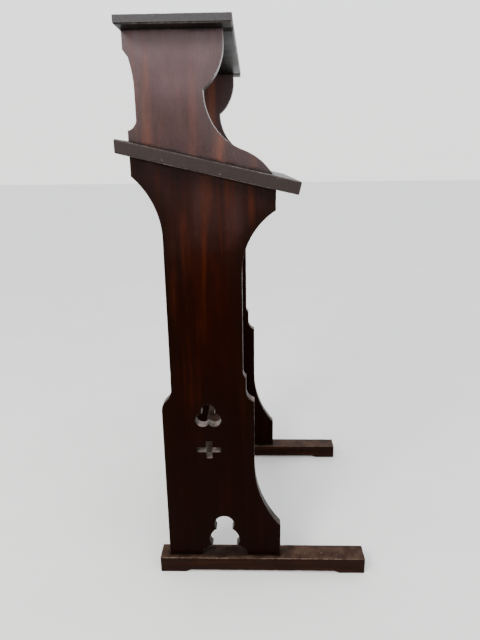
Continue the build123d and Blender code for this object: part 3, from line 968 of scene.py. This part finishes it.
def makeTopBoard():
    low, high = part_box("top_board")
    middle = (low + high) / 2

    def underBevel(point):
        # the lower edges are planed back at 45 degrees
        cut = max(0.0, topBoard["bevel"] - (point.z - low.z))
        for axis in (0, 1):
            half = (high[axis] - low[axis]) / 2
            reach = point[axis] - middle[axis]
            if abs(reach) > half - topBoard["bevel"]:
                limit = half - cut
                point[axis] = middle[axis] + math.copysign(min(abs(reach), limit), reach)
        return point

    contacts = [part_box(sideName + "_upper_side") for sideName in sides]
    blank = roundedBoard("top_board", low, high, topBoard["arris"], underBevel, contacts)
    handWorked("flat_top_board", blank, "mahogany_top", 13.0, "top_board")


footShape = {
    "arris": 0.0018, "relief": 0.005, "padLength": 0.052, "padSlope": 0.012,
    "boreLength": 0.012, "boreGap": 0.0003, "boreSides": 32, "dents": 0.0010,
}
screwShape = {
    "Head Radius": 0.0044, "Head Height": 0.003, "Shank Radius": 0.0022, "Length": 0.042,
    "Slot Width": 0.0011, "Slot Depth": 0.0012,
}


def screwStations(sideName):
    low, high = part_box(sideName + "_foot_screws")
    middle, reach = (low.x + high.x) / 2, screwShape["Head Radius"]
    return [Vector((middle, low.y + reach, low.z)), Vector((middle, high.y - reach, low.z))]


def boreForScrews(blank, sideName):
    # The heads lie in short bores from below.
    cutter = bmesh.new()
    depth = footShape["boreLength"]
    for station in screwStations(sideName):
        place = Matrix.Translation(station + Vector((0, 0, footShape["boreGap"] - depth / 2)))
        radius = screwShape["Head Radius"] + footShape["boreGap"]
        bmesh.ops.create_cone(
            cutter, cap_ends=True, segments=footShape["boreSides"],
            radius1=radius, radius2=radius, depth=depth, matrix=place,
        )
    bores = edited(cutter, sideName + "_bores")
    for name in ("rim", "seat"):
        setDistance(bores, name, np.full(len(bores.vertices), clear))
    host, tool = addObject(sideName + "_foot_host", blank), addObject(sideName + "_foot_tool", bores)
    cut = host.modifiers.new("bores", "BOOLEAN")
    cut.operation, cut.solver, cut.object = "DIFFERENCE", "EXACT", tool
    result = bpy.data.meshes.new_from_object(host.evaluated_get(bpy.context.evaluated_depsgraph_get()))
    host.modifiers.remove(cut)
    for item in (host, tool):
        bpy.data.objects.remove(item)
    return result


def makeFoot(sideName, seed):
    low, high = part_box(sideName + "_foot")
    starts = (low.y + footShape["padLength"], high.y - footShape["padLength"])
    marks = [starts[0], starts[0] + footShape["padSlope"], starts[1] - footShape["padSlope"], starts[1]]

    def relieve(point):
        inwards = min(point.y - starts[0], starts[1] - point.y)
        lift = footShape["relief"] * min(max(inwards / footShape["padSlope"], 0), 1)
        share = (high.z - point.z) / (high.z - low.z)
        return Vector((point.x, point.y, point.z + lift * share))

    partLow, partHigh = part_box(sideName + "_standard")
    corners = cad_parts[sideName + "_standard"].data.vertices
    base = [corner.co.y for corner in corners if abs(corner.co.z - footTop) < tolerance["level"]]
    contacts = [((partLow.x, min(base), high.z - millimetre), (partHigh.x, max(base), high.z + millimetre))]
    blank = roundedBoard(sideName + "_foot", low, high, footShape["arris"], relieve, contacts, marks)
    blank = boreForScrews(blank, sideName)
    changes = {"Dent Depth": footShape["dents"]}
    return handWorked(sideName + "_sledge_foot", blank, "mahogany_foot", seed, sideName + "_foot", **changes)


lowShelf = {"arris": 0.0012}


def makeShelf():
    low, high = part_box("low_shelf")
    contacts = [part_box(sideName + "_standard") for sideName in sides]
    contacts = [((a.x, low.y, low.z), (b.x, high.y, high.z)) for a, b in contacts]
    blank = roundedBoard("low_shelf", low, high, lowShelf["arris"], lambda point: point, contacts)
    handWorked("housed_low_shelf", blank, "mahogany_shelf", 17.0, "low_shelf")


restPiece = makeRestBoard()
makeTopBoard()
footPieces = [makeFoot(sideName, 19.0 + number) for number, sideName in enumerate(sides)]
makeShelf()
print("boards and feet made")


blockWork = {"arris": 0.0008, "roundness": 0.6, "cut": 0.006, "flatAngle": 0.02}
sawMarks = {"Hollow Depth": 0.0006, "Hollow Scale": 90.0}


def makeBlocks(sideName):
    # Sawn corner blocks, with their arrises eased and their faces divided for the saw marks.
    nodeName = sideName + "_glue_blocks"
    mesh = editing(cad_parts[nodeName].data)
    bmesh.ops.remove_doubles(mesh, verts=mesh.verts, dist=tolerance["merge"])
    bmesh.ops.dissolve_limit(mesh, angle_limit=blockWork["flatAngle"], verts=mesh.verts, edges=mesh.edges)
    offset, profile = blockWork["arris"], blockWork["roundness"]
    bmesh.ops.bevel(mesh, geom=mesh.edges[:], offset=offset, segments=2, profile=profile, affect="EDGES")
    low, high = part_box(nodeName)
    for y in np.arange(low.y + blockWork["cut"], high.y, blockWork["cut"]):
        everything = mesh.verts[:] + mesh.edges[:] + mesh.faces[:]
        bmesh.ops.bisect_plane(mesh, geom=everything, plane_co=(0, y, 0), plane_no=(0, 1, 0))
    bmesh.ops.triangulate(mesh, faces=mesh.faces)
    blank = edited(mesh, nodeName + "_blank")
    setDistance(blank, "rim", np.full(len(blank.vertices), clear))
    handWorked(sideName + "_corner_blocks", blank, "raw_block", 23.0, nodeName, **sawMarks)


def makeFootScrews(sideName):
    nodeName = sideName + "_foot_screws"
    points = bpy.data.meshes.new(nodeName + "_stations")
    points.from_pydata(screwStations(sideName), [], [])
    values = dict(screwShape, Finish=finishes["screw_steel"])
    piece = grow(sideName + "_slotted_screws", points, slottedScrews, values)
    roundShading(piece, 30)
    settle(piece, "screw_steel", nodeName)


fleckSpread = {"Smallest": 0.00035, "Largest": 0.0011, "Thickness": 0.00010}
fleckPlaces = {
    "endDensity": 900.0, "endSkin": 0.001, "endFacing": 0.95,
    "footDensity": 700.0, "footFront": -0.06, "footFacing": 0.9,
}


def scatterFlecks(piece, name, slot, keep, density, seed):
    # Specks only where the host piece is handled, so the host surface is trimmed to those faces first.
    host = editing(piece.data)
    spare = [face for face in host.faces if not keep(face)]
    bmesh.ops.delete(host, geom=spare, context="FACES")
    surface = edited(host, name + "_ground")
    result = grow(name, surface, flecks, dict(fleckSpread, Density=density, Seed=seed, Finish=fleckFinish))
    roundShading(result, 60)
    settle(result, slot)


for sideName in sides:
    makeBlocks(sideName)
    makeFootScrews(sideName)
    for suffix in ("_rest_dowels", "_top_dowels"):
        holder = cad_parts[sideName + suffix]
        holder.data.materials.clear()
        holder.data.materials.append(finishes["pale_hardwood"])


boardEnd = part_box("rest_board")[1].x - fleckPlaces["endSkin"]


def onBoardEnd(face):
    return abs(face.calc_center_median().x) > boardEnd and abs(face.normal.x) > fleckPlaces["endFacing"]


def onFootFront(face):
    inFront = face.calc_center_median().y < fleckPlaces["footFront"]
    return inFront and face.normal.z > fleckPlaces["footFacing"]


scatterFlecks(restPiece, "rest_board_flecks", "mahogany_rest", onBoardEnd, fleckPlaces["endDensity"], 4)
for number, (sideName, piece) in enumerate(zip(sides, footPieces)):
    name, density = sideName + "_foot_flecks", fleckPlaces["footDensity"]
    scatterFlecks(piece, name, "mahogany_foot", onFootFront, density, 9 + number)
print("small parts made")


stageSettings = {
    "floorSize": 40.0, "floorColour": (0.66, 0.645, 0.62), "floorShade": 0.96, "floorNoise": (3, 5, 0.6),
    "floorReach": (0.3, 0.7), "floorRough": (0.72, 0.82), "floorSpecular": 0.2,
    "skyStrength": (2.0, 2.4), "skyHeight": 0.8, "tintHeight": 0.6,
    "horizon": (0.93, 0.925, 0.91), "zenith": (0.92, 0.96, 1.0),
}


def makeFloor():
    half = stageSettings["floorSize"] / 2
    mesh = bpy.data.meshes.new("studio_floor")
    corners = [(-half, -half, 0), (half, -half, 0), (half, half, 0), (-half, half, 0)]
    mesh.from_pydata(corners, [], [(0, 1, 2, 3)])
    floor = addObject("studio_floor", mesh)
    material, tree, shader, place = startMaterial("studioFloor")
    noise = clouds(tree, place, *stageSettings["floorNoise"])
    tone = remap(tree, noise, *stageSettings["floorReach"], 0, 1)
    pale = stageSettings["floorColour"]
    colour = blendColour(tree, tone, scaled(pale, stageSettings["floorShade"]), pale)
    tree.links.new(colour, shader.inputs["Base Color"])
    tree.links.new(remap(tree, tone, 0, 1, *stageSettings["floorRough"]), shader.inputs["Roughness"])
    shader.inputs["Specular IOR Level"].default_value = stageSettings["floorSpecular"]
    mesh.materials.append(material)


def makeSky():
    world = bpy.data.worlds.new("studioSky")
    world.use_nodes = True
    tree = world.node_tree
    tree.nodes.clear()
    direction = tree.nodes.new("ShaderNodeTexCoord").outputs["Generated"]
    height = axisOf(tree, direction, "Z")
    strength = remap(tree, height, 0.0, stageSettings["skyHeight"], *stageSettings["skyStrength"])
    tint = remap(tree, height, 0, stageSettings["tintHeight"], 0, 1)
    colour = blendColour(tree, tint, stageSettings["horizon"], stageSettings["zenith"])
    back = addNode(tree, "ShaderNodeBackground", {"Color": colour, "Strength": strength})
    addNode(tree, "ShaderNodeOutputWorld", {"Surface": back.outputs[0]})
    bpy.context.scene.world = world


def aimedAt(origin, target):
    return (Vector(target) - Vector(origin)).to_track_quat("-Z", "Y").to_matrix().to_4x4()


aim = (0.0, 0.0, 0.55)
lamps = {
    "keyLight": {"place": (-1.95, 1.45, 2.30), "size": 1.0, "power": 85.0, "colour": (1.0, 0.97, 0.93)},
    "roomFill": {"place": (-2.6, -1.6, 1.5), "size": 2.2, "power": 30.0, "colour": (0.92, 0.95, 1.0)},
}


def addLight(name, look):
    data = bpy.data.lights.new(name, "AREA")
    data.shape = "DISK"
    data.size, data.energy, data.color = look["size"], look["power"], look["colour"]
    lamp = bpy.data.objects.new(name, data)
    lamp.matrix_world = Matrix.Translation(look["place"]) @ aimedAt(look["place"], aim)
    bpy.context.scene.collection.objects.link(lamp)


viewpoint = {
    "place": (-1.1355, 0.0028, 0.8297), "pitch": 17.04, "yaw": 1.65, "roll": 0.69,
    "lens": 29.25, "sensor": 36.0,
}


def makeCamera():
    pitch, yaw, roll = (math.radians(viewpoint[key]) for key in ("pitch", "yaw", "roll"))
    forward = Vector((math.cos(yaw) * math.cos(pitch), math.sin(yaw) * math.cos(pitch), -math.sin(pitch)))
    level = Vector((math.sin(yaw), -math.cos(yaw), 0))
    down = forward.cross(level)
    right = level * math.cos(roll) + down * math.sin(roll)
    down = down * math.cos(roll) - level * math.sin(roll)
    data = bpy.data.cameras.new("standView")
    data.lens, data.sensor_width = viewpoint["lens"], viewpoint["sensor"]
    camera = bpy.data.objects.new("standView", data)
    turn = Matrix((right, -down, -forward)).transposed().to_4x4()
    camera.matrix_world = Matrix.Translation(viewpoint["place"]) @ turn
    bpy.context.scene.collection.objects.link(camera)
    bpy.context.scene.camera = camera


makeFloor()
makeSky()
for name, look in lamps.items():
    addLight(name, look)
makeCamera()
print("floor, light and camera made")
